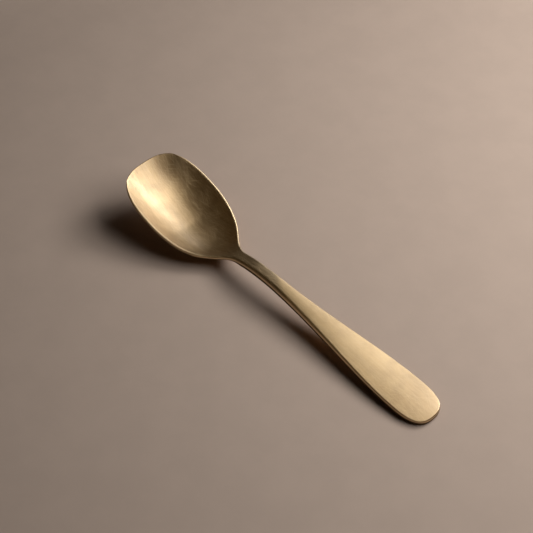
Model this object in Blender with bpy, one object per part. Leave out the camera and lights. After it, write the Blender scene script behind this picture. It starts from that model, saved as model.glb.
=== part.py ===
"""Ice cream spoon, forged from one blank of brass: a dished bowl, a round neck and a flat handle.

Metres, +Z up. The spoon lies along X on the plane z = 0, its bowl's tip at -X and its handle's end at +X,
and rests on the bowl's belly and on the underside of the handle's end. It is symmetric about y = 0.
Stations are distances from the tip along the spoon. The three regions of the blank are three objects
that share the flat section where one becomes the next.
"""
import math

import bpy
import numpy as np

# Overall
LENGTH = 0.140              # tip to handle end

# Bowl seen from above
BOWL_WIDTH = 0.0300
BOWL_FRONT = 0.0195         # tip to the widest place
BOWL_REAR = 0.0248          # widest place to where the rear oval would close
TIP_SQUARENESS = 2.9        # exponent of the front outline, where 2 is an oval
TIP_EDGE = 0.0190           # width of the front edge between its corners

# Bowl seen from the side
DISH_DEPTH = 0.0072         # rim to the middle of the wall at the deepest place
DISH_REACH = 0.0022         # how far the dish runs on past the rear oval
DEEPEST = 0.0235            # station of the deepest place
DISH_LENGTH_POWER = 2.2     # roundness of the dish along the bowl
DISH_WIDTH_POWER = 2.3      # roundness of the dish across the bowl
TIP_RISE = 0.012265         # rise of the rim from its level place to the tip
RIM_CURVE = 0.013           # length over which the rim levels out
RIM_LEVEL = 0.0028          # from where the rim is level to where the rear oval would close
BOWL_WALL = 0.0012

# Shoulders and neck
SHOULDER_LEAD = 0.0055      # from where the shoulders leave the oval to where it would close
SHOULDER_LENGTH = 0.0116
NECK_LENGTH = 0.0095
NECK_WIDTH = 0.0051
NECK_THICKNESS = 0.0033
NECK_HEIGHT = 0.0074        # middle of the neck above the table, at its handle end
NECK_EDGE_ROUND = 0.0012

# Handle
HANDLE_WIDTH = 0.0149
HANDLE_THICKNESS = 0.0019
HANDLE_FLARE = 1.15         # above 1 the handle widens later
HANDLE_STRAIGHT = 0.070     # length up to the end that is straight in side view
HANDLE_DROP = 0.0061        # fall of the straight length towards its end
HANDLE_CROWN = 0.00025      # rise of the top face over its edges
HANDLE_EDGE_ROUND = 0.0008
END_ROUND = 0.0116          # length of the rounded end
END_SQUARENESS = 2.6
END_EDGE = 0.0092           # width of the end's middle stretch

# Fineness of the mesh
RING_STEPS = 24             # faces across each side of a section
TIP_ROWS = 16
REAR_ROWS = 18
NECK_ROWS = 5
HANDLE_ROWS = 24
END_ROWS = 10
SHARP_ANGLE = math.radians(40)

# Finish
BRASS_COLOUR = (0.60, 0.44, 0.25, 1.0)
BRASS_ROUGHNESS = 0.34

# Stations worked out from the sizes
OVAL_END = BOWL_FRONT + BOWL_REAR
DISH_END = OVAL_END + DISH_REACH
SHOULDER_START = OVAL_END - SHOULDER_LEAD
BOWL_END = SHOULDER_START + SHOULDER_LENGTH
NECK_END = BOWL_END + NECK_LENGTH
END_START = LENGTH - END_ROUND
STRAIGHT_START = LENGTH - HANDLE_STRAIGHT
RIM_LOW = OVAL_END - RIM_LEVEL
RIM_BEND = RIM_LOW - RIM_CURVE

# Slopes worked out from the sizes
RIM_SLOPE = TIP_RISE / (RIM_BEND + RIM_CURVE * 2 / 3)
HANDLE_SLOPE = HANDLE_DROP / HANDLE_STRAIGHT


def hermite(s, start, end, z_start, z_end, slope_start, slope_end):
    """Height at station s of the smooth curve between two stations with given heights and slopes."""
    span = end - start
    t = (s - start) / span
    rise = t * t * (3 - 2 * t)
    lead = t * (1 - t) ** 2 * span * slope_start
    tail = t * t * (t - 1) * span * slope_end
    return z_start + (z_end - z_start) * rise + lead + tail


def smooth_step(s, start, end):
    """Rise from 0 to 1 between two stations."""
    t = np.clip((s - start) / (end - start), 0.0, 1.0)
    return t * t * (3 - 2 * t)


def oval_half_width(s):
    """Half the bowl's width on its rear oval."""
    return BOWL_WIDTH / 2 * math.sqrt(1 - ((s - BOWL_FRONT) / BOWL_REAR) ** 2)


def half_width(s):
    """Half the spoon's width at a station between the widest place of the bowl and the rounded end."""
    if s < SHOULDER_START:
        return oval_half_width(s)
    if s < BOWL_END:
        back = SHOULDER_START - BOWL_FRONT
        slope = -(BOWL_WIDTH / 2) ** 2 * back / (BOWL_REAR ** 2 * oval_half_width(SHOULDER_START))
        start_width = oval_half_width(SHOULDER_START)
        return hermite(s, SHOULDER_START, BOWL_END, start_width, NECK_WIDTH / 2, slope, 0.0)
    return NECK_WIDTH / 2 + (HANDLE_WIDTH - NECK_WIDTH) / 2 * flare(s)


def flare(s):
    """How far the neck has turned into the handle at a station, from 0 to 1."""
    share = min(max((s - NECK_END) / (END_START - NECK_END), 0.0), 1.0)
    return smooth_step(share ** HANDLE_FLARE, 0.0, 1.0)


def forged(s, bowl, neck, handle):
    """A size at a station that grows from the bowl's value to the neck's and ends at the handle's."""
    swell = smooth_step(s, SHOULDER_START, NECK_END)
    return bowl + (neck - bowl) * swell + (handle - neck) * flare(s)


def thickness(s):
    """Thickness of the metal at a station, which thins again as the handle widens."""
    return forged(s, BOWL_WALL, NECK_THICKNESS, HANDLE_THICKNESS)


def edge_round(s):
    """Radius of the rounded edges at a station."""
    return forged(s, BOWL_WALL / 2, NECK_EDGE_ROUND, HANDLE_EDGE_ROUND)


def dish(s):
    """Depth of the bowl's dish below its rim at a station of the centre line."""
    reach = DEEPEST if s < DEEPEST else DISH_END - DEEPEST
    share = min(abs(s - DEEPEST) / reach, 1.0)
    return DISH_DEPTH * (1 - share ** DISH_LENGTH_POWER)


def rim_rise(s):
    """Height of the bowl's rim over its level place."""
    bend_rise = RIM_SLOPE * RIM_CURVE * 2 / 3
    straight = bend_rise + RIM_SLOPE * (RIM_BEND - s)
    levelling = hermite(s, RIM_BEND, RIM_LOW, bend_rise, 0.0, -RIM_SLOPE, 0.0)
    return np.where(s < RIM_BEND, straight, levelling)


def end_closure(distance, radius):
    """Share of the thickness left at a distance from an end, where the edge is rounded off."""
    into = min(max(1 - distance / radius, 0.0), 1.0)
    return math.sqrt(1 - into * into)


class Row:
    """One row of points across the spoon: where its middle and its two ends lie."""

    def __init__(self, middle, ends, width, bow, from_end):
        self.middle = middle
        self.ends = ends
        self.width = width
        self.bow = bow
        self.closure = end_closure(from_end, edge_round(middle))


def rounded_end(half, depth, squareness, edge, count):
    """Rows of a rounded end, from its outer edge to its full width: middle, ends and half-width."""
    corner = math.asin((edge / 2 / half) ** (squareness / 2))
    for i in range(count):
        share = i / count
        angle = corner + (math.pi / 2 - corner) * share
        middle = depth * (1 - math.cos(math.pi / 2 * share))
        ends = depth * (1 - math.cos(angle) ** (2 / squareness))
        yield middle, ends, half * math.sin(angle) ** (2 / squareness)


def edge_bow(across, half, depth, squareness, edge):
    """Shape of a rounded end's outer edge, from 0 at its middle to 1 at its corners."""
    def back(y):
        return depth * (1 - (1 - (y / half) ** squareness) ** (1 / squareness))
    return back(np.abs(across) * edge / 2) / back(edge / 2)


def straight_rows(start, end, count):
    """Rows straight across the spoon, without the last one."""
    for i in range(count):
        s = start + (end - start) * i / count
        yield Row(s, s, half_width(s), np.zeros_like(ACROSS), LENGTH)


def all_rows():
    """Every row from the tip to the handle's end, with the numbers of the two rows shared by objects."""
    rows = []
    bow = edge_bow(ACROSS, BOWL_WIDTH / 2, BOWL_FRONT, TIP_SQUARENESS, TIP_EDGE)
    for middle, ends, width in rounded_end(BOWL_WIDTH / 2, BOWL_FRONT, TIP_SQUARENESS, TIP_EDGE, TIP_ROWS):
        rows.append(Row(middle, ends, width, bow, middle))
    rows.extend(straight_rows(BOWL_FRONT, BOWL_END, REAR_ROWS))
    neck_row = len(rows)
    rows.extend(straight_rows(BOWL_END, NECK_END, NECK_ROWS))
    handle_row = len(rows)
    rows.extend(straight_rows(NECK_END, END_START, HANDLE_ROWS))
    rows.append(Row(END_START, END_START, half_width(END_START), np.zeros_like(ACROSS), LENGTH))
    bow = edge_bow(ACROSS, HANDLE_WIDTH / 2, END_ROUND, END_SQUARENESS, END_EDGE)
    end = list(rounded_end(HANDLE_WIDTH / 2, END_ROUND, END_SQUARENESS, END_EDGE, END_ROWS))
    for middle, ends, width in reversed(end):
        rows.append(Row(LENGTH - middle, LENGTH - ends, width, bow, middle))
    return rows, neck_row, handle_row


def belly_lift(rows):
    """Height of the rim's level place that lets the bowl's belly just touch the table."""
    belly = [rim_rise(r.middle) - dish(r.middle) - thickness(r.middle) / 2 * r.closure
             for r in rows if r.middle < RIM_LOW]
    return -min(belly)


def end_lift(rows):
    """Height of the handle's end that lets its underside just touch the table."""
    under = [HANDLE_SLOPE * (LENGTH - r.middle) - thickness(r.middle) / 2 * r.closure
             for r in rows if r.middle > STRAIGHT_START]
    return -min(under)


def middle_height(s, rim_height, end_height):
    """Height of the middle of the metal at each station along the edges."""
    straight_rise = end_height + HANDLE_SLOPE * HANDLE_STRAIGHT
    bowl = rim_height + rim_rise(s)
    shoulder = hermite(s, RIM_LOW, NECK_END, rim_height, NECK_HEIGHT, 0.0, 0.0)
    arch = hermite(s, NECK_END, STRAIGHT_START, NECK_HEIGHT, straight_rise, 0.0, -HANDLE_SLOPE)
    straight = end_height + HANDLE_SLOPE * (LENGTH - s)
    places = [s < RIM_LOW, s < NECK_END, s < STRAIGHT_START]
    return np.select(places, [bowl, shoulder, arch], straight)


def section(row, rim_height, end_height):
    """Upper and lower points of a row, each from one edge of the spoon to the other."""
    y = row.width * ACROSS
    station = row.middle + (row.ends - row.middle) * row.bow
    depth = dish(row.middle)
    reach = np.abs(ACROSS) ** DISH_WIDTH_POWER
    middle = middle_height(station, rim_height, end_height) - depth * (1 - reach)
    slope = depth * DISH_WIDTH_POWER / row.width * np.abs(ACROSS) ** (DISH_WIDTH_POWER - 1) * np.sign(ACROSS)
    lean = 1 / np.sqrt(1 + slope * slope)
    radius = min(edge_round(row.middle), row.width)
    into = np.clip((np.abs(y) - row.width) / radius + 1, 0.0, 1.0)
    half = thickness(row.middle) / 2 * row.closure * np.sqrt(1 - into * into)
    crown = HANDLE_CROWN * smooth_step(row.middle, BOWL_END, STRAIGHT_START) * row.closure
    x = station - LENGTH / 2
    upper = np.stack([x, y - half * slope * lean, middle + half * lean + crown * (1 - ACROSS ** 2)], 1)
    lower = np.stack([x, y + half * slope * lean, middle - half * lean], 1)
    return upper, lower


def skin(sections, closed_start, closed_end):
    """Points and faces of the closed skin over a run of sections, with flat faces or edges at its ends."""
    points = []
    rings = []
    last = len(sections) - 1
    for i, (upper, lower) in enumerate(sections):
        first = len(points)
        points.extend(upper.tolist())
        top = list(range(first, len(points)))
        if (i == 0 and closed_start) or (i == last and closed_end):
            rings.append((top, top))
            continue
        first = len(points)
        points.extend(lower[1:-1].tolist())
        rings.append((top, [top[0], *range(first, len(points)), top[-1]]))
    faces = []
    for (top_a, low_a), (top_b, low_b) in zip(rings, rings[1:]):
        for k in range(RING_STEPS):
            faces.append((top_a[k], top_b[k], top_b[k + 1], top_a[k + 1]))
            faces.append((low_a[k + 1], low_b[k + 1], low_b[k], low_a[k]))
    if not closed_start:
        top, low = rings[0]
        faces.append((*top, *reversed(low[1:-1])))
    if not closed_end:
        top, low = rings[-1]
        faces.append((*reversed(top), *low[1:-1]))
    return points, faces


def brass(name):
    """Satin brass for one object."""
    material = bpy.data.materials.new(name + "_brass")
    material.use_nodes = True
    shader = material.node_tree.nodes["Principled BSDF"]
    shader.inputs["Base Color"].default_value = BRASS_COLOUR
    shader.inputs["Metallic"].default_value = 1.0
    shader.inputs["Roughness"].default_value = BRASS_ROUGHNESS
    return material


def add_object(name, sections, parent, closed_start=False, closed_end=False):
    """One named object from a run of sections."""
    points, faces = skin(sections, closed_start, closed_end)
    mesh = bpy.data.meshes.new(name)
    mesh.from_pydata(points, [], faces)
    mesh.shade_smooth()
    mesh.set_sharp_from_angle(angle=SHARP_ANGLE)
    mesh.materials.append(brass(name))
    piece = bpy.data.objects.new(name, mesh)
    piece.parent = parent
    bpy.context.scene.collection.objects.link(piece)
    return piece


def build():
    """The spoon's three objects, under one empty at its origin."""
    for item in list(bpy.data.objects):
        bpy.data.objects.remove(item)
    spoon = bpy.data.objects.new("spoon", None)
    bpy.context.scene.collection.objects.link(spoon)
    rows, neck_row, handle_row = all_rows()
    rim_height = belly_lift(rows)
    end_height = end_lift(rows)
    sections = [section(row, rim_height, end_height) for row in rows]
    add_object("bowl", sections[:neck_row + 1], spoon, closed_start=True)
    add_object("neck", sections[neck_row:handle_row + 1], spoon)
    add_object("handle", sections[handle_row:], spoon, closed_end=True)


# Places across the spoon from -1 to 1, closer together at the edges
ACROSS = np.sin(np.linspace(-math.pi / 2, math.pi / 2, RING_STEPS + 1))

build()
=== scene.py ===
"""Ice cream spoon in satin brass, lying on a plain table, lit by a softbox and a small lamp.

Metres, +Z up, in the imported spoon's own frame: the bowl's tip is at -X, the handle's end at +X,
and the spoon rests on z = 0. Stations are distances from the tip along the spoon. The bowl, the
neck and the handle are cut from one smooth skin, so that the metal runs on from one to the next
without a seam.
"""
import math

import bpy
import numpy as np
from bpy.props import FloatProperty, FloatVectorProperty, IntProperty, PointerProperty
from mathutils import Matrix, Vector


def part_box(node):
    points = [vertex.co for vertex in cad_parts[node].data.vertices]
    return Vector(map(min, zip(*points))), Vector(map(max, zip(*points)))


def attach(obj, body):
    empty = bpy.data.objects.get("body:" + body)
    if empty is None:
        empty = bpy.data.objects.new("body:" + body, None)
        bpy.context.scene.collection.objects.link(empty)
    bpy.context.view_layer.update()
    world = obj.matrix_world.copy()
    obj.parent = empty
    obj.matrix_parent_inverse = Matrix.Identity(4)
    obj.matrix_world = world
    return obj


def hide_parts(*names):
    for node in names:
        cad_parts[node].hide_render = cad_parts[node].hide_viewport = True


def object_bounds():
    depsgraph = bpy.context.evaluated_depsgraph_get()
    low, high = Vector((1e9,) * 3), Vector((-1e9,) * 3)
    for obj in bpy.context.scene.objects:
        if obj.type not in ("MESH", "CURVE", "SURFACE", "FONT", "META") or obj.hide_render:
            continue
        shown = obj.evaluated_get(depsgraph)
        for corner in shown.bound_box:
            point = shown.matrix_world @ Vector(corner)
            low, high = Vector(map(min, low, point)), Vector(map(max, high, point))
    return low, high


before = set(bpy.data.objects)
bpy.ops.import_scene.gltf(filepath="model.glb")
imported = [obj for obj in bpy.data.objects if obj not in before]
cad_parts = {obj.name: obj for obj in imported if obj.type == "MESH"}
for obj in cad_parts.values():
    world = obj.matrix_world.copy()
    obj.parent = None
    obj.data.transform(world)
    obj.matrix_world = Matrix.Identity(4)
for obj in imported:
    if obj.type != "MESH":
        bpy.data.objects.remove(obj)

bl_info = {
    "name": "Ice Cream Spoon",
    "version": (1, 0, 0),
    "blender": (4, 5, 0),
    "location": "3D View > Sidebar > Spoon",
    "description": "Builds a satin brass ice cream spoon and the table it lies on",
    "category": "Add Mesh",
}

# The solids' own boxes, kept before anything is added
SOLID_LOW, SOLID_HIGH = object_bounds()
NECK_LOW, NECK_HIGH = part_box("neck")
HANDLE_LOW, HANDLE_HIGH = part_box("handle")

PHOTO_SIDE = 533            # pixels on each side of the square picture
SENSOR = 36.0               # millimetres
NEAR_CLIP = 0.01            # nothing nearer to the camera than this is seen

# Fineness of the skin
RING_STEPS = 72             # faces across each side of a section
TIP_ROWS = 60
REAR_ROWS = 64
NECK_ROWS = 22
HANDLE_ROWS = 96
END_ROWS = 40

# The grain's third coordinate is 0 on the top side and this much on the underside
UNDERSIDE_SHIFT = 0.5

# X of the middle of the mesh's texture space, far beyond the tip, which turns the sheen across the spoon
SHEEN_CENTRE = -2.0

# Sizes of the brass's patterns beside those of a brushed line
STREAK_LENGTH = 3.0         # a streak is this many lines long
STREAK_WIDTH = 5.0          # and this many wide
SCRATCH_FINENESS = 2.2      # scratches that fit in the width of a line
SCRATCH_WAYS = (0.6, -0.9, 0.2, -0.35)      # their directions from the spoon's length, in radians
BLOTCH_SCALE = (190.0, 260.0, 190.0)        # blotches in a metre: along, across and through the metal

# Middle of the noise's range, and the detail and roughness of the noise in each pattern
MIDDLE = 0.5
LINE_NOISE = (5.0, 0.65)
STREAK_NOISE = (3.0, 0.6)
SCRATCH_NOISE = (2.0, 0.5)
BLOTCH_NOISE = (5.0, 0.6)
MOTTLE_NOISE = (4.0, 0.6)

# Levels of the noise between which each pattern rises from nothing to full
STROKE_RANGE = (0.35, 0.65)
SCRATCH_RANGE = (0.55, 0.73)
DULL_RANGE = (0.36, 0.68)
MOTTLE_RANGE = (0.3, 0.7)

# Stations between which each region of the spoon begins
# The neck's painted shade begins between these stations: a darker colour standing in for the shade the
# neck shows
NECK_SHADE_STATIONS = (0.040, 0.050)
# From these stations on, the sides of neck and handle carry painted shade
SHANK_STATIONS = (0.046, 0.054)
# The painted shade at the handle's end begins between these stations, darkening the end that the lamps
# light more strongly
END_SHADE_STATIONS = (0.105, 0.135)

# Roundness between which each region begins, from 0 on a face to 1 on the outline
WORN_RANGE = (0.20, 0.65)
# The painted shade on the sides of neck and handle lies between these roundnesses
UPPER_SIDE_RANGE = (0.55, 0.90)
LOWER_SIDE_RANGE = (0.02, 0.30)

# Outlines of the regions
WANDER = 0.006              # how far blotches move an outline
HIGHLIT_SLANT = 1.9          # how far the outline of the rubbed handle, painted lighter as highlit, runs along the spoon for each unit across
HIGHLIT_BEFORE = 0.002       # where its brightness starts, before its station
HIGHLIT_AFTER = 0.003        # where it is full, after its station
TIP_SHADE_CORE = 0.2            # share of the radius of the painted shade at the tip inside which it is full

# How much of each cause goes into the tarnish and painted shade: the blotches are tarnish, and off the
# lit handle, at the handle's end and on the sides it is painted shade
BLOTCH_TARNISH = 0.35
OFF_HANDLE_SHADE = 0.65
END_SHADE = 0.85
SIDE_SHADE = 0.8

# How much of the dark colour shows in the painted shade at the tip and on the neck
TIP_SHADE_STRENGTH = 0.9
NECK_SHADE = 0.5

# How much the brushed strokes and the scratches shine
LINE_SHARE = 0.8            # share of the lines in a brushed stroke
STREAK_SHARE = 0.2          # share of the streaks
RUBBED_EVENNESS = 0.40      # how far rubbing evens out the strokes
STROKE_POLISH = 0.30
SCRATCH_POLISH = 0.22
STROKES_UNDER_TIP_SHADE = 0.8   # share of the strokes that the painted shade at the tip hides
SCRATCHES_UNDER_TIP_SHADE = 0.5
UNRUBBED_SCRATCHES = 1.6    # strength of the scratches on the bowl and neck, where 1 is the handle's

# What changes the roughness, the share of bare metal and the lacquer
LINE_ROUGHNESS = 0.18
BLOTCH_ROUGHNESS = 0.16
SCRATCH_ROUGHNESS = 0.10
WORN_SMOOTHNESS = 0.10
TARNISH_AND_SHADE_COVER = 0.06
WORN_METAL = 0.04
TIP_SHADE_DULLNESS = 0.9        # share of the lacquer taken off in the painted shade at the tip, so that it reflects less

# Depths beside that of a brushed line
STREAK_DEPTH = 0.3
SCRATCH_DEPTH = 0.18

# The table, and the distances from the spoon between which it starts to glow
TABLE_HALF = 2.0
TABLE_ROUGHNESS = 0.75
TABLE_SHINE = 0.2
MOTTLE_SCALE = (70.0, 70.0, 70.0)
MOTTLE_SHADE = 0.96         # brightness of the darker patches beside the rest
NEAR_TABLE = 0.17
FAR_TABLE = 0.38

# The room, which darkens upwards between these heights, as sines, and the wall's fully pale middle
HORIZON_LOW = 0.06
HORIZON_HIGH = 0.16
WALL_CORE = 1 / 3           # share of the wall's reach

BLACK = (0.0, 0.0, 0.0)


def length(name, description, default):
    """A property that holds a length in metres."""
    return FloatProperty(name=name, description=description, default=default, precision=5,
                         unit="LENGTH", subtype="DISTANCE")


def share(name, description, default):
    """A property that holds a share from 0 to 1."""
    return FloatProperty(name=name, description=description, default=default, min=0.0, max=1.0,
                         subtype="FACTOR")


def angle(name, description, degrees):
    """A property that holds an angle, given in degrees."""
    return FloatProperty(name=name, description=description, default=math.radians(degrees),
                         unit="ROTATION", subtype="ANGLE")


def level(name, description, default):
    """A property that holds a brightness, where 1 shows as white."""
    return FloatProperty(name=name, description=description, default=default, min=0.0)


def colour(name, description, default):
    """A property that holds a linear colour."""
    return FloatVectorProperty(name=name, description=description, default=default, size=3,
                               min=0.0, max=1.0, subtype="COLOR")


class BowlSizes(bpy.types.PropertyGroup):
    """Sizes of the bowl and its shoulders."""

    width: length("Width", "Width of the bowl between the middles of its rims", 0.0300)
    front: length("Front", "From the tip to the widest place", 0.0195)
    rear: length("Rear", "From the widest place to where the rear oval would close", 0.0248)
    tip_edge: length("Tip edge", "Width of the front edge between its corners", 0.0190)
    tip_squareness: FloatProperty(name="Tip squareness", default=2.9,
                                  description="Exponent of the front outline, where 2 is an oval")
    depth: length("Depth", "From the rim to the middle of the wall at the deepest place", 0.0072)
    reach: length("Reach", "How far the dish runs on past the rear oval", 0.0022)
    deepest: length("Deepest", "Station of the deepest place", 0.0235)
    along_power: FloatProperty(name="Roundness along", default=2.2,
                               description="Exponent of the dish along the bowl")
    across_power: FloatProperty(name="Roundness across", default=2.3,
                                description="Exponent of the dish across the bowl")
    rear_power: FloatProperty(name="Rear fullness", default=1.5,
                              description="Exponent of the inside of the dish behind its deepest place")
    rear_round: length("Rear rounding", "Length each way of the rounding where the dish meets the neck",
                       0.0036)
    tip_rise: length("Tip rise", "Rise of the rim from its level place to the tip", 0.012265)
    rim_curve: length("Rim curve", "Length over which the rim levels out", 0.013)
    rim_level: length("Rim level", "From where the rim is level to where the rear oval would close",
                      0.0028)
    wall: length("Wall", "Thickness of the bowl's wall", 0.0012)
    shoulder_lead: length("Shoulder lead",
                          "From where the shoulders leave the oval to where it would close", 0.0055)


class NeckSizes(bpy.types.PropertyGroup):
    """Sizes of the neck."""

    start: length("Start", "Station where the bowl becomes the neck", NECK_LOW.x - SOLID_LOW.x)
    end: length("End", "Station where the neck becomes the handle", NECK_HIGH.x - SOLID_LOW.x)
    width: length("Width", "Width of the neck", 0.0051)
    thickness: length("Thickness", "Thickness of the neck at its handle end", 0.0033)
    height: length("Height", "Middle of the neck above the table, at its handle end", 0.0074)
    edge_round: length("Edge round", "Radius of the neck's rounded edges", 0.0012)


class HandleSizes(bpy.types.PropertyGroup):
    """Sizes of the handle."""

    end: length("End", "Station of the handle's end", SOLID_HIGH.x - SOLID_LOW.x)
    width: length("Width", "Width of the handle", HANDLE_HIGH.y - HANDLE_LOW.y)
    thickness: length("Thickness", "Thickness of the handle at its end", 0.0019)
    flare: FloatProperty(name="Flare", default=1.15, description="Above 1 the handle widens later")
    straight: length("Straight", "Length up to the end that is straight in side view", 0.070)
    drop: length("Drop", "Fall of the straight length towards its end", 0.0061)
    crown: length("Crown", "Rise of the top face over its edges", 0.00025)
    edge_round: length("Edge round", "Radius of the handle's rounded edges", 0.00045)
    end_round: length("End round", "Length of the rounded end", 0.0116)
    end_squareness: FloatProperty(name="End squareness", default=2.6,
                                  description="Exponent of the end's outline, where 2 is an oval")
    end_edge: length("End edge", "Width of the end's middle stretch", 0.0092)


class BrassFinish(bpy.types.PropertyGroup):
    """Look of the satin brass."""

    bright: colour("Bright brass", "Colour of freshly brushed brass", (0.54, 0.368, 0.176))
    # The colour that tarnish and the painted shade on the bowl, the neck, the handle's end and the sides
    # darken towards
    aged_and_shaded: colour("Aged brass", "Colour where the brass has dulled", (0.34, 0.216, 0.095))
    # This dark colour is painted shade: at the tip, on the neck, and on the sides of neck and handle
    painted_dark: colour("Stained brass", "Colour of the stain at the tip and of the handle's dark sides",
                    (0.10, 0.060, 0.025))
    worn: colour("Worn brass", "Colour of the polished edges", (0.68, 0.515, 0.30))
    metal: share("Metal", "Share of bare metal where the brass is bright, under its thin tarnish", 0.96)
    roughness: share("Roughness", "Roughness of the satin", 0.41)
    sheen: share("Sheen", "How much wider highlights run across the spoon than along it", 0.5)
    lacquer: share("Lacquer", "Weight of the thin clear lacquer", 0.9)
    lacquer_roughness: share("Lacquer roughness", "Roughness of the lacquer", 0.30)
    grain_width: length("Grain width", "Width of a brushed line", 0.00075)
    grain_length: length("Grain length", "Length of a brushed line", 0.012)
    scratch_length: length("Scratch length", "Length of a fine scratch", 0.007)
    grain_depth: length("Grain depth", "Depth of a brushed line", 0.000022)
    # From this station on the handle keeps the bright colour as a painted highlight, the bowl and neck
    # are painted darker, and rubbing evens out the strokes
    rubbed_and_highlit: length("Rubbed", "Station from which the handle is rubbed bright by use", 0.0690)
    # Place and reach of the painted shade at the tip, a dark patch where the highlight falls short of
    # the edge
    tip_shade: FloatVectorProperty(name="Stain", default=(0.003, 0.0085, 0.0), subtype="XYZ", unit="LENGTH",
                               description="Station and place across of the stain at the tip")
    tip_shade_radius: length("Stain radius", "Reach of the stain at the tip", 0.0105)


class StudioSet(bpy.types.PropertyGroup):
    """The table, the light and the view."""

    table: colour("Table", "Colour of the table", (0.63, 0.485, 0.39))
    # This colour is a painted glow on the table far from the lamps, and also the backdrop the camera
    # sees
    far_table_glow: colour("Far table", "Colour of the table far from the lamps", (0.29, 0.225, 0.18))
    horizon: colour("Horizon", "Colour of the room near the table's height", (0.12, 0.09, 0.065))
    room: colour("Room", "Colour of the dim room over the table", (0.05, 0.034, 0.014))
    ambient: colour("Ambient", "Faint light of the room on the table", (0.003, 0.0024, 0.0018))
    key_azimuth: angle("Softbox azimuth", "Direction of the softbox from the spoon's length", 60.0)
    key_elevation: angle("Softbox elevation", "Height of the softbox over the table", 47.0)
    key_distance: length("Softbox distance", "From the spoon to the softbox", 0.39)
    key_width: length("Softbox width", "Size of the softbox along the table", 0.44)
    key_height: length("Softbox height", "Size of the softbox from its lower to its upper edge", 0.24)
    key_level: level("Softbox level", "Brightness of the softbox", 3.4)
    wall_azimuth: angle("Wall azimuth", "Direction of the pale wall that the brass reflects", 102.0)
    wall_reach: angle("Wall reach", "How far the pale wall reaches round to each side", 34.0)
    wall_fade: angle("Wall fade", "Height over the table where the pale wall starts to darken", 40.0)
    wall_top: angle("Wall top", "Height over the table where the pale wall ends", 62.0)
    wall_level: level("Wall level", "Brightness of the pale wall", 1.6)
    spot_azimuth: angle("Spot azimuth", "Direction of the small lamp from the spoon's length", 75.0)
    spot_elevation: angle("Spot elevation", "Height of the small lamp over the table", 37.0)
    spot_distance: length("Spot distance", "From the spoon to the small lamp", 0.45)
    spot_side: length("Spot side", "Width and height of the small lamp", 0.12)
    spot_level: level("Spot level", "Brightness of the small lamp", 8.0)
    azimuth: angle("Azimuth", "Direction of the view round the upright", 45.94)
    elevation: angle("Elevation", "Height of the view over the table", 47.82)
    distance: length("Distance", "From the camera to the point it looks at", 0.4918)
    look_x: length("Look at X", "Point on the table that the camera looks at", -0.01472)
    look_y: length("Look at Y", "Point on the table that the camera looks at", 0.00767)
    focal_pixels: IntProperty(name="Focal length", description="Focal length in pixels of the picture",
                              default=1400)


def hermite(s, start, end, z_start, z_end, slope_start, slope_end):
    """Height at station s of the smooth curve between two stations with given heights and slopes."""
    span = end - start
    t = (s - start) / span
    rise = t * t * (3 - 2 * t)
    lead = t * (1 - t) ** 2 * span * slope_start
    tail = t * t * (t - 1) * span * slope_end
    return z_start + (z_end - z_start) * rise + lead + tail


def smooth_step(s, start, end):
    """Rise from 0 to 1 between two stations."""
    t = np.clip((s - start) / (end - start), 0.0, 1.0)
    return t * t * (3 - 2 * t)


class Row:
    """One row of points across the spoon.

    It has the stations of its middle and its ends, its half-width, the shape of its bow from 0 at
    its middle to 1 at its ends, and how far it is from the tip or the handle's end, if it is part
    of one of these two rounded ends.
    """

    def __init__(self, middle, ends, width, bow, from_end):
        self.middle = middle
        self.ends = ends
        self.width = width
        self.bow = bow
        self.from_end = from_end


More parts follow.
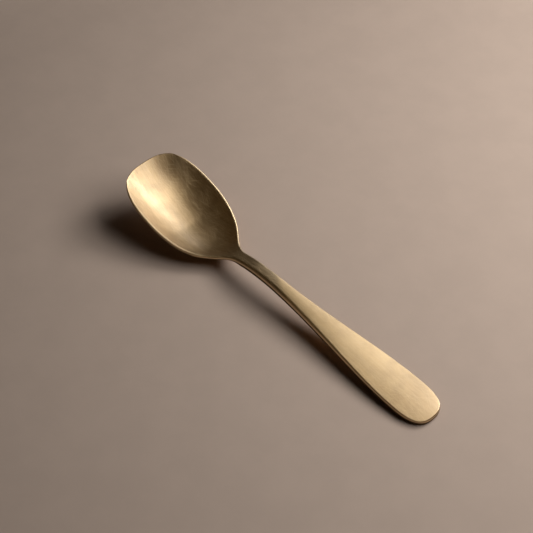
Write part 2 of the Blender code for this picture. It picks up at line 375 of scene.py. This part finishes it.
class SpoonForm:
    """The spoon's shape, worked out from its sizes."""

    def __init__(self, scene):
        self.bowl = scene.spoon_bowl
        self.neck = scene.spoon_neck
        self.handle = scene.spoon_handle
        self.across = np.sin(np.linspace(-math.pi / 2, math.pi / 2, RING_STEPS + 1))
        self.oval_end = self.bowl.front + self.bowl.rear
        self.shoulder_start = self.oval_end - self.bowl.shoulder_lead
        self.dish_end = self.oval_end + self.bowl.reach
        self.end_start = self.handle.end - self.handle.end_round
        self.straight_start = self.handle.end - self.handle.straight
        self.rim_low = self.oval_end - self.bowl.rim_level
        self.rim_bend = self.rim_low - self.bowl.rim_curve
        self.bend_reach = self.bowl.rim_curve * 2 / 3
        self.rim_slope = self.bowl.tip_rise / (self.rim_bend + self.bend_reach)
        self.handle_slope = self.handle.drop / self.handle.straight
        self.rows, self.neck_row, self.handle_row = self.make_rows()
        self.rim_height = self.belly_lift()
        self.end_height = self.end_lift()

    def oval_half_width(self, s):
        """Half the bowl's width on its rear oval."""
        return self.bowl.width / 2 * math.sqrt(1 - ((s - self.bowl.front) / self.bowl.rear) ** 2)

    def half_width(self, s):
        """Half the spoon's width between the widest place of the bowl and the rounded end."""
        if s < self.shoulder_start:
            return self.oval_half_width(s)
        if s < self.neck.start:
            back = self.shoulder_start - self.bowl.front
            start_width = self.oval_half_width(self.shoulder_start)
            slope = -(self.bowl.width / 2) ** 2 * back / (self.bowl.rear ** 2 * start_width)
            return hermite(s, self.shoulder_start, self.neck.start, start_width, self.neck.width / 2,
                           slope, 0.0)
        return self.neck.width / 2 + (self.handle.width - self.neck.width) / 2 * self.flare(s)

    def flare(self, s):
        """How far the neck has turned into the handle, from 0 to 1."""
        part = min(max((s - self.neck.end) / (self.end_start - self.neck.end), 0.0), 1.0)
        return smooth_step(part ** self.handle.flare, 0.0, 1.0)

    def forged(self, s, bowl, neck, handle):
        """A size that grows from the bowl's value to the neck's and ends at the handle's."""
        swell = smooth_step(s, self.shoulder_start, self.neck.end)
        return bowl + (neck - bowl) * swell + (handle - neck) * self.flare(s)

    def thickness(self, s):
        """Thickness of the metal."""
        return self.forged(s, self.bowl.wall, self.neck.thickness, self.handle.thickness)

    def edge_round(self, s):
        """Radius of the rounded edges."""
        return self.forged(s, self.bowl.wall / 2, self.neck.edge_round, self.handle.edge_round)

    def closure(self, row):
        """Share of the thickness left at a row, where an end's edge is rounded off."""
        into = min(max(1 - row.from_end / self.edge_round(row.middle), 0.0), 1.0)
        return math.sqrt(1 - into * into)

    def half_thickness(self, row):
        """Half the thickness of the metal on the centre line of a row."""
        return self.thickness(row.middle) / 2 * self.closure(row)

    def dish(self, s):
        """Depth of the bowl's dish below its rim on the centre line."""
        deepest = self.bowl.deepest
        reach = deepest if s < deepest else self.dish_end - deepest
        part = min(abs(s - deepest) / reach, 1.0)
        return self.bowl.depth * (1 - part ** self.bowl.along_power)

    def rear_fill(self, s):
        """Extra thickness of the bowl's floor where it rises to the neck, less its end's rounding."""
        bowl = self.bowl
        reach = self.dish_end - bowl.deepest
        part = min(max((s - bowl.deepest) / reach, 0.0), 1.0)
        fill = bowl.depth * (part ** bowl.rear_power - part ** bowl.along_power)
        slope = bowl.rear_power * bowl.depth / reach
        near = max(1 - abs(s - self.dish_end) / bowl.rear_round, 0.0)
        # Two parabolas bring the slope down to level, one on each side of the dish's end
        return fill - slope * bowl.rear_round / 4 * near ** 2

    def rim_rise(self, s):
        """Height of the bowl's rim over its level place."""
        slope = self.rim_slope
        bend_rise = slope * self.bend_reach
        straight = bend_rise + slope * (self.rim_bend - s)
        levelling = hermite(s, self.rim_bend, self.rim_low, bend_rise, 0.0, -slope, 0.0)
        return np.where(s < self.rim_bend, straight, levelling)

    def rounded_end(self, half, depth, squareness, edge, count):
        """Rows of a rounded end, from its outer edge to its full width: middle, ends and half-width."""
        corner = math.asin((edge / 2 / half) ** (squareness / 2))
        for i in range(count):
            part = i / count
            turn = corner + (math.pi / 2 - corner) * part
            middle = depth * (1 - math.cos(math.pi / 2 * part))
            ends = depth * (1 - math.cos(turn) ** (2 / squareness))
            yield middle, ends, half * math.sin(turn) ** (2 / squareness)

    def edge_bow(self, half, depth, squareness, edge):
        """Shape of a rounded end's outer edge, from 0 at its middle to 1 at its corners."""
        def back(y):
            return depth * (1 - (1 - (y / half) ** squareness) ** (1 / squareness))
        return back(np.abs(self.across) * edge / 2) / back(edge / 2)

    def straight_row(self, s):
        """A row straight across the spoon."""
        return Row(s, s, self.half_width(s), np.zeros_like(self.across), self.handle.end)

    def straight_rows(self, start, end, count):
        """Rows straight across the spoon, without the last one."""
        for i in range(count):
            yield self.straight_row(start + (end - start) * i / count)

    def make_rows(self):
        """Every row from the tip to the handle's end, and the rows where one piece becomes the next."""
        bowl, handle = self.bowl, self.handle
        tip = (bowl.width / 2, bowl.front, bowl.tip_squareness, bowl.tip_edge)
        bow = self.edge_bow(*tip)
        rows = [Row(middle, ends, width, bow, middle)
                for middle, ends, width in self.rounded_end(*tip, TIP_ROWS)]
        rows.extend(self.straight_rows(bowl.front, self.neck.start, REAR_ROWS))
        neck_row = len(rows)
        rows.extend(self.straight_rows(self.neck.start, self.neck.end, NECK_ROWS))
        handle_row = len(rows)
        rows.extend(self.straight_rows(self.neck.end, self.end_start, HANDLE_ROWS))
        rows.append(self.straight_row(self.end_start))
        end = (handle.width / 2, handle.end_round, handle.end_squareness, handle.end_edge)
        bow = self.edge_bow(*end)
        for middle, ends, width in reversed(list(self.rounded_end(*end, END_ROWS))):
            rows.append(Row(handle.end - middle, handle.end - ends, width, bow, middle))
        return rows, neck_row, handle_row

    def belly_lift(self):
        """Height of the rim's level place that lets the bowl's belly just touch the table."""
        belly = [self.rim_rise(row.middle) - self.dish(row.middle) - self.half_thickness(row)
                 for row in self.rows if row.middle < self.rim_low]
        return -min(belly)

    def end_lift(self):
        """Height of the handle's end that lets its underside just touch the table."""
        under = [self.handle_slope * row.from_end - self.half_thickness(row)
                 for row in self.rows if row.middle > self.end_start]
        return -min(under)

    def middle_height(self, s):
        """Height of the middle of the metal along the edges."""
        slope = self.handle_slope
        straight_rise = self.end_height + slope * self.handle.straight
        neck_height = self.neck.height
        bowl = self.rim_height + self.rim_rise(s)
        shoulder = hermite(s, self.rim_low, self.neck.end, self.rim_height, neck_height, 0.0, 0.0)
        arch = hermite(s, self.neck.end, self.straight_start, neck_height, straight_rise, 0.0, -slope)
        straight = self.end_height + slope * (self.handle.end - s)
        places = [s < self.rim_low, s < self.neck.end, s < self.straight_start]
        return np.select(places, [bowl, shoulder, arch], straight)

    def section(self, row):
        """Upper and lower points of a row, and how rounded off the metal is at each."""
        across = self.across
        y = row.width * across
        station = row.middle + (row.ends - row.middle) * row.bow
        depth = self.dish(row.middle)
        power = self.bowl.across_power
        middle = self.middle_height(station) - depth * (1 - np.abs(across) ** power)
        slope = depth * power / row.width * np.abs(across) ** (power - 1) * np.sign(across)
        lean = 1 / np.sqrt(1 + slope * slope)
        radius = min(self.edge_round(row.middle), row.width)
        into = np.clip((np.abs(y) - row.width) / radius + 1, 0.0, 1.0)
        kept = np.sqrt(1 - into * into)
        half = self.half_thickness(row) * kept
        crown = self.handle.crown * smooth_step(row.middle, self.neck.start, self.straight_start)
        rise = crown * self.closure(row) * (1 - across ** 2)
        rise = rise + self.rear_fill(row.middle) * (1 - np.abs(across) ** power)
        x = station - self.handle.end / 2
        upper = np.stack([x, y - half * slope * lean, middle + half * lean + rise], 1)
        lower = np.stack([x, y + half * slope * lean, middle - half * lean], 1)
        return upper, lower, 1 - self.closure(row) * kept

    def skin(self):
        """The whole spoon as rings of points, each once round a section, with grain and roundness."""
        points, grain, edges = [], [], []
        for row in self.rows:
            upper, lower, edge = self.section(row)
            steps = np.linalg.norm(np.diff(upper[:, 1:], axis=0), axis=1)
            run = np.concatenate([[0.0], np.cumsum(steps)])
            run = run - run[RING_STEPS // 2]
            along = upper[:, 0] + self.handle.end / 2
            top = np.stack([along, run, np.zeros_like(run)], 1)
            under = top + np.array([0.0, 0.0, UNDERSIDE_SHIFT])
            points.append(np.concatenate([upper, lower[-2:0:-1]]))
            grain.append(np.concatenate([top, under[-2:0:-1]]))
            edges.append(np.concatenate([edge, edge[-2:0:-1]]))
        return np.array(points), np.array(grain), np.array(edges)


def ring_numbers(rows, closed_first, closed_last):
    """Point numbers of a run of rings, where a closed ring is folded flat into one edge."""
    around = 2 * RING_STEPS
    folded = np.minimum(np.arange(around), around - np.arange(around))
    kinds = [np.arange(around)] * rows
    if closed_first:
        kinds[0] = folded
    if closed_last:
        kinds[-1] = folded
    starts = np.concatenate([[0], np.cumsum([kind.max() + 1 for kind in kinds])])
    return np.array([kind + start for kind, start in zip(kinds, starts)])


def ring_faces(numbers):
    """Four-sided faces between neighbouring rings, pointing out."""
    nxt = np.roll(numbers, -1, axis=1)
    return np.stack([numbers[:-1], numbers[1:], nxt[1:], nxt[:-1]], 2).reshape(-1, 4)


def point_values(numbers, values):
    """Values on the rings as one list in point order."""
    flat = np.zeros((numbers.max() + 1, *values.shape[2:]))
    flat[numbers] = values
    return flat


def skin_normals(points):
    """Outward direction at every place of the whole skin."""
    numbers = ring_numbers(len(points), True, True)
    places = point_values(numbers, points)
    faces = ring_faces(numbers)
    first, second, third, fourth = (places[faces[:, k]] for k in range(4))
    turned = np.cross(third - first, fourth - second)
    sums = np.zeros_like(places)
    for k in range(4):
        np.add.at(sums, faces[:, k], turned)
    sums /= np.linalg.norm(sums, axis=1, keepdims=True)
    return sums[numbers]


def add_values(mesh, name, kind, field, values):
    """Store one value for each point of a mesh, for its material to read."""
    attribute = mesh.attributes.new(name, kind, "POINT")
    attribute.data.foreach_set(field, values.astype(np.float32).ravel())


def make_piece(context, name, node, first, last):
    """One piece of the spoon: the skin between two rows, closed, riding on the spoon's one body.

    first and last name the rows, and None stands for the spoon's own first or last row.
    """
    form = SpoonForm(context.scene)
    first = 0 if first is None else getattr(form, first)
    last = len(form.rows) - 1 if last is None else getattr(form, last)
    closed_first = first == 0
    closed_last = last == len(form.rows) - 1
    points, grain, edges = form.skin()
    normals = skin_normals(points)
    numbers = ring_numbers(last - first + 1, closed_first, closed_last)
    places = point_values(numbers, np.clip(points[first:last + 1], SOLID_LOW, SOLID_HIGH))
    directions = point_values(numbers, normals[first:last + 1])
    faces = ring_faces(numbers).tolist()
    corners = [directions[v] for face in faces for v in face]
    caps = ((closed_first, numbers[0], -1.0), (closed_last, numbers[-1][::-1], 1.0))
    for closed, ring, facing in caps:
        if not closed:
            faces.append(ring.tolist())
            corners.extend([(facing, 0.0, 0.0)] * len(ring))
    mesh = bpy.data.meshes.new(name)
    mesh.from_pydata(places, [], faces)
    mesh.shade_smooth()
    mesh.normals_split_custom_set(corners)
    add_values(mesh, "grain", "FLOAT_VECTOR", "vector", point_values(numbers, grain[first:last + 1]))
    add_values(mesh, "edge", "FLOAT", "value", point_values(numbers, edges[first:last + 1]))
    mesh.use_auto_texspace = False
    mesh.texspace_location = (SHEEN_CENTRE, 0.0, 0.0)
    mesh.texspace_size = (1.0, 1.0, 1.0)
    mesh.materials.append(satin_brass(context.scene.spoon_finish))
    piece = bpy.data.objects.new(name, mesh)
    context.scene.collection.objects.link(piece)
    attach(piece, "root")
    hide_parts(node)


class Wire:
    """An output in a node tree. Arithmetic on it adds Math nodes."""

    def __init__(self, tree, socket=None):
        self.tree = tree
        self.socket = socket

    def node(self, kind, settings=None, inputs=None, output=0):
        """A new node of any kind: its settings are set first, then its sockets' values or links."""
        made = self.tree.nodes.new(kind)
        for key, value in (settings or {}).items():
            setattr(made, key, value)
        for key, value in (inputs or {}).items():
            if isinstance(value, Wire):
                self.tree.links.new(value.socket, made.inputs[key])
            else:
                made.inputs[key].default_value = value
        return Wire(self.tree, made.outputs[output])

    def math(self, operation, first, second):
        """A Math node on two values."""
        return self.node("ShaderNodeMath", {"operation": operation}, {0: first, 1: second})

    def __add__(self, other):
        return self.math("ADD", self, other)

    def __radd__(self, other):
        return self.math("ADD", other, self)

    def __sub__(self, other):
        return self.math("SUBTRACT", self, other)

    def __rsub__(self, other):
        return self.math("SUBTRACT", other, self)

    def __mul__(self, other):
        return self.math("MULTIPLY", self, other)

    def __rmul__(self, other):
        return self.math("MULTIPLY", other, self)

    def stretched(self, scale):
        """This vector times a scale for each axis."""
        return self.node("ShaderNodeVectorMath", {"operation": "MULTIPLY"}, {0: self, 1: scale})

    def turned(self, radians):
        """This vector turned about its third axis."""
        inputs = {"Vector": self, "Angle": radians}
        return self.node("ShaderNodeVectorRotate", {"rotation_type": "Z_AXIS"}, inputs)

    def axis(self, name):
        """One coordinate of this vector, X, Y or Z."""
        return self.node("ShaderNodeSeparateXYZ", None, {0: self}, name)

    def measured(self, operation, other):
        """A value from this vector and another, such as their distance."""
        return self.node("ShaderNodeVectorMath", {"operation": operation}, {0: self, 1: other}, "Value")

    def noise(self, detail, roughness):
        """Noise from 0 to 1 on this vector."""
        inputs = {"Vector": self, "Scale": 1.0, "Detail": detail, "Roughness": roughness}
        return self.node("ShaderNodeTexNoise", {"noise_dimensions": "3D"}, inputs)

    def ramp(self, low, high):
        """This value moved so that low becomes 0 and high becomes 1, and kept there, with soft ends."""
        inputs = {"Value": self, "From Min": low, "From Max": high}
        return self.node("ShaderNodeMapRange", {"interpolation_type": "SMOOTHSTEP"}, inputs)

    def between(self, first, second):
        """A colour between two others, by this value."""
        return self.node("ShaderNodeMix", {"data_type": "RGBA"}, {0: self, 6: first, 7: second}, 2)


def opaque(rgb):
    """A colour with full alpha."""
    return (*rgb, 1.0)


class BrassLook:
    """The patterns, worn regions and painted shade of the brass, and what they change on its surface."""

    def __init__(self, tree, finish):
        self.finish = finish
        self.wire = Wire(tree)
        self.place = self.wire.node("ShaderNodeAttribute", {"attribute_name": "grain"}, output="Vector")
        self.edge = self.wire.node("ShaderNodeAttribute", {"attribute_name": "edge"}, output="Fac")
        self.add_patterns()
        self.add_regions()
        self.scuffs = self.scratches * (UNRUBBED_SCRATCHES - (UNRUBBED_SCRATCHES - 1.0) * self.rubbed_and_highlit)
        # Blotches are real tarnish; the rest is painted shade on the bowl and neck, at the handle's end
        # and on the sides
        self.tarnish_and_shade = (BLOTCH_TARNISH * self.blotch.ramp(*DULL_RANGE)
                        + OFF_HANDLE_SHADE * (1.0 - self.rubbed_and_highlit)
                        + END_SHADE * self.end_shade
                        + SIDE_SHADE * self.shaded_sides)

    def add_patterns(self):
        """Brushed lines, streaks of them, fine scratches in several directions, and blotches."""
        along = 1 / self.finish.grain_length
        across = 1 / self.finish.grain_width
        streak = (along / STREAK_LENGTH, across / STREAK_WIDTH, across)
        scratch = (1 / self.finish.scratch_length, SCRATCH_FINENESS * across, across)
        self.lines = self.place.stretched((along, across, across)).noise(*LINE_NOISE)
        self.streaks = self.place.stretched(streak).noise(*STREAK_NOISE)
        self.blotch = self.place.stretched(BLOTCH_SCALE).noise(*BLOTCH_NOISE)
        ways = [self.place.turned(way).stretched(scratch) for way in SCRATCH_WAYS]
        self.scratches = sum(way.noise(*SCRATCH_NOISE).ramp(*SCRATCH_RANGE) for way in ways)

    def add_regions(self):
        """Where the handle is rubbed and painted as highlit, where shade is painted on the neck, at the
        handle's end, at the tip and on the sides of neck and handle, and where the rims are worn.
        """
        station = self.place.axis("X")
        run = self.place.axis("Y")
        under = self.place.axis("Z").ramp(0.0, UNDERSIDE_SHIFT)
        wander = WANDER * (self.blotch - MIDDLE)
        start = self.finish.rubbed_and_highlit
        grip = station + HIGHLIT_SLANT * run + wander
        # The lit handle: rubbed smooth, and left bright as a painted highlight while the bowl and neck
        # are painted darker
        self.rubbed_and_highlit = grip.ramp(start - HIGHLIT_BEFORE, start + HIGHLIT_AFTER)
        # Painted shade at the handle's end, which the lamps light more strongly
        self.end_shade = station.ramp(*END_SHADE_STATIONS)
        # Painted shade on the neck
        self.neck_shade = station.ramp(*NECK_SHADE_STATIONS) * (1.0 - self.rubbed_and_highlit)
        shank = station.ramp(*SHANK_STATIONS)
        upper_side = self.edge.ramp(*UPPER_SIDE_RANGE) * (1.0 - under)
        lower_side = self.edge.ramp(*LOWER_SIDE_RANGE) * under
        # Painted shade on the sides of neck and handle, standing in for the shadowed table that they
        # reflect
        self.shaded_sides = (upper_side + lower_side) * shank
        self.worn = self.edge.ramp(*WORN_RANGE) * (1.0 - under * shank) - self.shaded_sides
        # Painted shade at the tip, a dark patch where the highlight falls short of the edge
        radius = self.finish.tip_shade_radius
        from_tip_shade = self.place.measured("DISTANCE", self.finish.tip_shade) + wander
        self.painted_dark = 1.0 - from_tip_shade.ramp(TIP_SHADE_CORE * radius, radius)

    def colour(self):
        """Bright brass, dulled by tarnish and painted shade, darkened more by painted shade at the tip,
        on the neck and on the sides, with polished strokes, scratches and rims.
        """
        finish = self.finish
        strokes = (LINE_SHARE * self.lines + STREAK_SHARE * self.streaks).ramp(*STROKE_RANGE)
        brushed = strokes + RUBBED_EVENNESS * self.rubbed_and_highlit * (MIDDLE - strokes)
        polish = STROKE_POLISH * brushed * (1.0 - STROKES_UNDER_TIP_SHADE * self.painted_dark)
        scored = SCRATCH_POLISH * self.scuffs * (1.0 - SCRATCHES_UNDER_TIP_SHADE * self.painted_dark)
        marks = (polish + scored) * (1.0 - self.shaded_sides)
        aged_and_shaded = self.tarnish_and_shade.between(opaque(finish.bright), opaque(finish.aged_and_shaded))
        # The painted shade at the tip, on the sides and on the neck
        dark = TIP_SHADE_STRENGTH * self.painted_dark + self.shaded_sides + NECK_SHADE * self.neck_shade
        body = dark.between(aged_and_shaded, opaque(finish.painted_dark))
        lined = marks.between(body, opaque(finish.worn))
        return self.worn.between(lined, opaque(finish.worn))

    def roughness(self):
        """Roughness of the satin, which the rims have less of."""
        return (self.finish.roughness
                + LINE_ROUGHNESS * (self.lines - MIDDLE)
                + BLOTCH_ROUGHNESS * (self.blotch - MIDDLE)
                + SCRATCH_ROUGHNESS * self.scuffs
                - WORN_SMOOTHNESS * self.worn)

    def metal(self):
        """Share of bare metal, less under the tarnish and painted shade and more on the rims."""
        return self.finish.metal - TARNISH_AND_SHADE_COVER * self.tarnish_and_shade + WORN_METAL * self.worn

    def lacquer(self):
        """Weight of the lacquer, most of which is taken off in the painted shade at the tip and all of
        it on the painted-shade sides.
        """
        return self.finish.lacquer * (1.0 - TIP_SHADE_DULLNESS * self.painted_dark) * (1.0 - self.shaded_sides)

    def bump(self):
        """Direction of the surface over the lines, the streaks and the scratches."""
        height = self.lines + STREAK_DEPTH * self.streaks - SCRATCH_DEPTH * self.scratches
        inputs = {"Strength": 1.0, "Distance": self.finish.grain_depth, "Height": height}
        return self.wire.node("ShaderNodeBump", None, inputs)


def satin_brass(finish):
    """Brass brushed along the spoon, scratched by use, dulled by tarnish and painted shade, which all
    the pieces share.
    """
    name = "satin_brass"
    if name in bpy.data.materials:
        return bpy.data.materials[name]
    material = bpy.data.materials.new(name)
    material.use_nodes = True
    tree = material.node_tree
    look = BrassLook(tree, finish)
    shader = tree.nodes["Principled BSDF"]
    shader.inputs["Anisotropic"].default_value = finish.sheen
    shader.inputs["Coat Roughness"].default_value = finish.lacquer_roughness
    tree.links.new(look.colour().socket, shader.inputs["Base Color"])
    tree.links.new(look.metal().socket, shader.inputs["Metallic"])
    tree.links.new(look.roughness().socket, shader.inputs["Roughness"])
    tree.links.new(look.lacquer().socket, shader.inputs["Coat Weight"])
    tree.links.new(look.bump().socket, shader.inputs["Normal"])
    return material


def table_top(studio):
    """Matt painted board with a very faint mottle, and a painted glow that keeps it pale far from the
    lamps.
    """
    material = bpy.data.materials.new("table_top")
    material.use_nodes = True
    tree = material.node_tree
    wire = Wire(tree)
    place = wire.node("ShaderNodeTexCoord", output="Object")
    mottle = place.stretched(MOTTLE_SCALE).noise(*MOTTLE_NOISE)
    darker = tuple(MOTTLE_SHADE * value for value in studio.table)
    painted = mottle.ramp(*MOTTLE_RANGE).between(opaque(darker), opaque(studio.table))
    away = place.measured("DISTANCE", (0.0, 0.0, 0.0))
    glow = away.ramp(NEAR_TABLE, FAR_TABLE).between(opaque(BLACK), opaque(studio.far_table_glow))
    shader = tree.nodes["Principled BSDF"]
    shader.inputs["Roughness"].default_value = TABLE_ROUGHNESS
    shader.inputs["Specular IOR Level"].default_value = TABLE_SHINE
    shader.inputs["Emission Strength"].default_value = 1.0
    tree.links.new(painted.socket, shader.inputs["Base Color"])
    tree.links.new(glow.socket, shader.inputs["Emission Color"])
    return material


def add_table(context, studio):
    """The table, much larger than the picture."""
    half = TABLE_HALF
    corners = [(-half, -half, 0.0), (half, -half, 0.0), (half, half, 0.0), (-half, half, 0.0)]
    mesh = bpy.data.meshes.new("table")
    mesh.from_pydata(corners, [], [(0, 1, 2, 3)])
    mesh.materials.append(table_top(studio))
    table = bpy.data.objects.new("table", mesh)
    context.scene.collection.objects.link(table)


def out_from(azimuth, elevation):
    """Direction out from the spoon, by its angle round from the spoon's length and its height."""
    flat = math.cos(elevation)
    return Vector((math.cos(azimuth) * flat, math.sin(azimuth) * flat, math.sin(elevation)))


def add_lamp(context, name, azimuth, elevation, distance, width, height, brightness):
    """A flat lamp that faces the spoon, of a given size and brightness."""
    lamp = bpy.data.lights.new(name, "AREA")
    lamp.shape = "RECTANGLE"
    lamp.size = width
    lamp.size_y = height
    lamp.energy = brightness * math.pi * width * height
    lit = bpy.data.objects.new(name, lamp)
    out = out_from(azimuth, elevation)
    lit.location = Vector((context.scene.spoon_studio.look_x, 0.0, 0.0)) + out * distance
    lit.rotation_euler = out.to_track_quat("Z", "Y").to_euler()
    lit.visible_camera = False
    context.scene.collection.objects.link(lit)


def add_lamps(context, studio):
    """The softbox that lights the spoon, and the small lamp beside it that sharpens the highlight."""
    add_lamp(context, "softbox", studio.key_azimuth, studio.key_elevation, studio.key_distance,
             studio.key_width, studio.key_height, studio.key_level)
    add_lamp(context, "spot", studio.spot_azimuth, studio.spot_elevation, studio.spot_distance,
             studio.spot_side, studio.spot_side, studio.spot_level)


def add_room(context, studio):
    """The room: dim, with one pale wall, and as pale as the far table where the camera sees it."""
    world = bpy.data.worlds.new("room")
    world.use_nodes = True
    tree = world.node_tree
    wire = Wire(tree)
    direction = wire.node("ShaderNodeTexCoord", output="Generated")
    height = direction.axis("Z")
    dim = height.ramp(HORIZON_LOW, HORIZON_HIGH).between(opaque(studio.horizon), opaque(studio.room))
    flat = direction.stretched((1.0, 1.0, 0.0))
    bearing = wire.node("ShaderNodeVectorMath", {"operation": "NORMALIZE"}, {0: flat})
    facing = bearing.measured("DOT_PRODUCT", out_from(studio.wall_azimuth, 0.0))
    across_wall = facing.ramp(math.cos(studio.wall_reach), math.cos(studio.wall_reach * WALL_CORE))
    up_wall = 1.0 - height.ramp(math.sin(studio.wall_fade), math.sin(studio.wall_top))
    wall = across_wall * up_wall
    shade = wall.between(dim, opaque((studio.wall_level,) * 3))
    camera, glossy, through = (wire.node("ShaderNodeLightPath", output=ray)
                               for ray in ("Is Camera Ray", "Is Glossy Ray", "Is Transmission Ray"))
    lit = (glossy + through).between(opaque(studio.ambient), shade)
    light = camera.between(lit, opaque(studio.far_table_glow))
    tree.links.new(light.socket, tree.nodes["Background"].inputs["Color"])
    context.scene.world = world


def add_camera(context, studio):
    """The camera, at the picture's viewing angle."""
    lens = bpy.data.cameras.new("camera")
    lens.sensor_width = SENSOR
    lens.lens = SENSOR * studio.focal_pixels / PHOTO_SIDE
    lens.clip_start = NEAR_CLIP
    camera = bpy.data.objects.new("camera", lens)
    back = out_from(studio.azimuth - math.pi / 2, studio.elevation)
    camera.location = Vector((studio.look_x, studio.look_y, 0.0)) + back * studio.distance
    camera.rotation_euler = (-back).to_track_quat("-Z", "Y").to_euler()
    context.scene.collection.objects.link(camera)
    context.scene.camera = camera


class SPOON_OT_bowl(bpy.types.Operator):
    """Add the square-tipped bowl with its shoulders"""

    bl_idname = "spoon.bowl"
    bl_label = "Bowl"

    def execute(self, context):
        make_piece(context, "spoon_bowl", "bowl", None, "neck_row")
        return {"FINISHED"}


class SPOON_OT_neck(bpy.types.Operator):
    """Add the short round neck"""

    bl_idname = "spoon.neck"
    bl_label = "Neck"

    def execute(self, context):
        make_piece(context, "spoon_neck", "neck", "neck_row", "handle_row")
        return {"FINISHED"}


class SPOON_OT_handle(bpy.types.Operator):
    """Add the flat handle that widens to a rounded end"""

    bl_idname = "spoon.handle"
    bl_label = "Handle"

    def execute(self, context):
        make_piece(context, "spoon_handle", "handle", "handle_row", None)
        return {"FINISHED"}


class SPOON_OT_stage(bpy.types.Operator):
    """Add the table, the light, the room and the camera"""

    bl_idname = "spoon.stage"
    bl_label = "Stage"

    def execute(self, context):
        studio = context.scene.spoon_studio
        add_table(context, studio)
        add_lamps(context, studio)
        add_room(context, studio)
        add_camera(context, studio)
        context.scene.view_settings.view_transform = "Standard"
        return {"FINISHED"}


class SPOON_PT_sidebar(bpy.types.Panel):
    """The spoon's pieces and sizes in the 3D view's sidebar"""

    bl_idname = "SPOON_PT_sidebar"
    bl_label = "Ice Cream Spoon"
    bl_space_type = "VIEW_3D"
    bl_region_type = "UI"
    bl_category = "Spoon"

    def draw(self, context):
        for operator in OPERATORS:
            self.layout.operator(operator.bl_idname)
        for name, group in GROUPS.items():
            box = self.layout.box()
            for key in group.__annotations__:
                box.prop(getattr(context.scene, name), key)


GROUPS = {
    "spoon_bowl": BowlSizes,
    "spoon_neck": NeckSizes,
    "spoon_handle": HandleSizes,
    "spoon_finish": BrassFinish,
    "spoon_studio": StudioSet,
}
OPERATORS = (SPOON_OT_bowl, SPOON_OT_neck, SPOON_OT_handle, SPOON_OT_stage)
CLASSES = (*GROUPS.values(), *OPERATORS, SPOON_PT_sidebar)


def register():
    """Register the classes and give the scene its property groups."""
    for item in CLASSES:
        bpy.utils.register_class(item)
    for name, group in GROUPS.items():
        setattr(bpy.types.Scene, name, PointerProperty(type=group))


def unregister():
    """Undo register."""
    for name in GROUPS:
        delattr(bpy.types.Scene, name)
    for item in reversed(CLASSES):
        bpy.utils.unregister_class(item)


def main():
    """Make the spoon and its stage."""
    register()
    bpy.ops.spoon.stage()
    bpy.ops.spoon.bowl()
    bpy.ops.spoon.neck()
    bpy.ops.spoon.handle()


if __name__ == "__main__":
    main()
